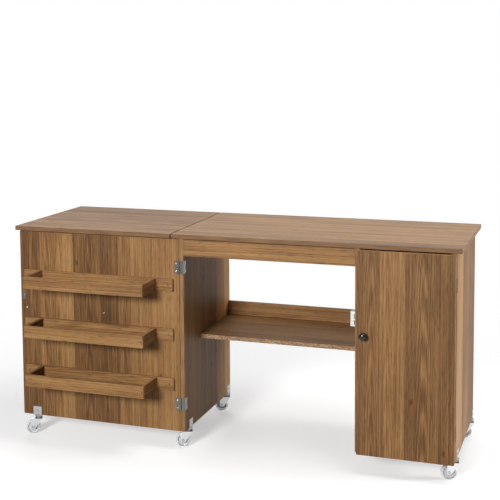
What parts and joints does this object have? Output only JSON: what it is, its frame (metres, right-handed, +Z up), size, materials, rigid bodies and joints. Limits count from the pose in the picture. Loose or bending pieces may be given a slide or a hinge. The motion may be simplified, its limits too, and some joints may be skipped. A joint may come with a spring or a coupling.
{
  "type": "folding sewing desk",
  "caption": "Folding sewing desk on casters: a hinged side leaf, a wide door with racks that swings out under it, a knee hole with a shelf, and a narrow door cabinet.",
  "frame": {"origin": "on the floor, under the middle of the opened desk's box", "axes": "+X to the right along the length as seen from the front, +Y to the back, +Z up"},
  "size_m": [1.582, 0.643, 0.76],
  "materials": {
    "oak_laminate": "satin oak laminate",
    "hardboard": "smooth hardboard",
    "plated_steel": "nickel plate",
    "bright_chrome": "bright chrome",
    "black_knob": "black satin",
    "white_plastic": "matte",
    "clear_wheel": "translucent polyurethane"
  },
  "bodies": {
    "carcass": {"main_top": "oak_laminate", "left_upright": "oak_laminate", "cabinet_inner_side": "oak_laminate", "cabinet_outer_side": "oak_laminate", "cabinet_bottom": "oak_laminate", "front_apron": "oak_laminate", "kneehole_shelf": "oak_laminate", "kneehole_back_rail": "oak_laminate", "cabinet_shelves": "oak_laminate", "top_stop": "oak_laminate", "cabinet_back": "hardboard", "shelf_pins": "plated_steel", "cam_locks": "plated_steel", "cam_bolts": "plated_steel", "wide_door_catch": "white_plastic", "narrow_door_catch": "white_plastic", "wide_door_frame_hinges": "plated_steel", "narrow_door_frame_hinges": "plated_steel", "main_top_hinges": "plated_steel", "hinge_pins": "plated_steel", "caster_clamps": "bright_chrome"},
    "side_leaf": {"side_leaf_panel": "oak_laminate", "leaf_stop": "oak_laminate", "side_leaf_hinges": "plated_steel"},
    "wide_door": {"wide_door_panel": "oak_laminate", "upper_rack_back_rail": "oak_laminate", "upper_rack_front_rail": "oak_laminate", "upper_rack_bottom": "hardboard", "middle_rack_back_rail": "oak_laminate", "middle_rack_front_rail": "oak_laminate", "middle_rack_bottom": "hardboard", "lower_rack_back_rail": "oak_laminate", "lower_rack_front_rail": "oak_laminate", "lower_rack_bottom": "hardboard", "rack_ends": "oak_laminate", "wide_door_hinges": "plated_steel", "wide_door_knobs": "black_knob", "wide_door_knob_screws": "plated_steel", "wide_door_strike": "plated_steel", "door_caster_clamp": "bright_chrome"},
    "narrow_door": {"narrow_door_panel": "oak_laminate", "narrow_door_hinges": "plated_steel", "narrow_door_knob": "black_knob", "narrow_door_knob_screw": "plated_steel", "narrow_door_strike": "plated_steel"},
    "upright_front_fork": {"upright_front_caster_fork": "bright_chrome", "upright_front_caster_axle": "plated_steel"},
    "upright_front_wheel": {"upright_front_caster_wheel": "clear_wheel"},
    "upright_rear_fork": {"upright_rear_caster_fork": "bright_chrome", "upright_rear_caster_axle": "plated_steel"},
    "upright_rear_wheel": {"upright_rear_caster_wheel": "clear_wheel"},
    "cabinet_front_fork": {"cabinet_front_caster_fork": "bright_chrome", "cabinet_front_caster_axle": "plated_steel"},
    "cabinet_front_wheel": {"cabinet_front_caster_wheel": "clear_wheel"},
    "cabinet_rear_fork": {"cabinet_rear_caster_fork": "bright_chrome", "cabinet_rear_caster_axle": "plated_steel"},
    "cabinet_rear_wheel": {"cabinet_rear_caster_wheel": "clear_wheel"},
    "door_fork": {"door_caster_fork": "bright_chrome", "door_caster_axle": "plated_steel"},
    "door_wheel": {"door_caster_wheel": "clear_wheel"}
  },
  "joints": [
    {"name": "wide_door_swing", "type": "hinge", "parent": "carcass", "child": "wide_door", "pos_m": [-0.159, -0.1943, 0.4], "axis": [0, 0, 1], "range_deg": [0, 180]},
    {"name": "side_leaf_fold", "type": "hinge", "parent": "carcass", "child": "side_leaf", "pos_m": [-0.19, 0.063, 0.7422], "axis": [0, -1, 0], "range_deg": [0, 90]},
    {"name": "narrow_door_swing", "type": "hinge", "parent": "carcass", "child": "narrow_door", "pos_m": [0.775, -0.1943, 0.4], "axis": [0, 0, 1], "range_deg": [0, 180]},
    {"name": "upright_front_caster_swivel", "type": "hinge", "parent": "carcass", "child": "upright_front_fork", "pos_m": [-0.1515, -0.1375, 0.055], "axis": [0, 0, 1], "continuous": true},
    {"name": "upright_front_wheel_spin", "type": "hinge", "parent": "upright_front_fork", "child": "upright_front_wheel", "pos_m": [-0.17029, -0.14434, 0.025], "axis": [0.342, -0.9397, 0], "continuous": true},
    {"name": "upright_rear_caster_swivel", "type": "hinge", "parent": "carcass", "child": "upright_rear_fork", "pos_m": [-0.1515, 0.2635, 0.055], "axis": [0, 0, 1], "continuous": true},
    {"name": "upright_rear_wheel_spin", "type": "hinge", "parent": "upright_rear_fork", "child": "upright_rear_wheel", "pos_m": [-0.17029, 0.25666, 0.025], "axis": [0.342, -0.9397, 0], "continuous": true},
    {"name": "cabinet_front_caster_swivel", "type": "hinge", "parent": "carcass", "child": "cabinet_front_fork", "pos_m": [0.7675, -0.1375, 0.055], "axis": [0, 0, 1], "continuous": true},
    {"name": "cabinet_front_wheel_spin", "type": "hinge", "parent": "cabinet_front_fork", "child": "cabinet_front_wheel", "pos_m": [0.74871, -0.14434, 0.025], "axis": [0.342, -0.9397, 0], "continuous": true},
    {"name": "cabinet_rear_caster_swivel", "type": "hinge", "parent": "carcass", "child": "cabinet_rear_fork", "pos_m": [0.7675, 0.2635, 0.055], "axis": [0, 0, 1], "continuous": true},
    {"name": "cabinet_rear_wheel_spin", "type": "hinge", "parent": "cabinet_rear_fork", "child": "cabinet_rear_wheel", "pos_m": [0.74871, 0.25666, 0.025], "axis": [0.342, -0.9397, 0], "continuous": true},
    {"name": "door_caster_swivel", "type": "hinge", "parent": "wide_door", "child": "door_fork", "pos_m": [-0.719, -0.184, 0.055], "axis": [0, 0, 1], "continuous": true},
    {"name": "door_wheel_spin", "type": "hinge", "parent": "door_fork", "child": "door_wheel", "pos_m": [-0.73779, -0.19084, 0.025], "axis": [0.342, -0.9397, 0], "continuous": true}
  ],
  "couplings": [
    {"joint": "side_leaf_fold", "follows": "wide_door_swing", "ratio": 0.5}
  ]
}
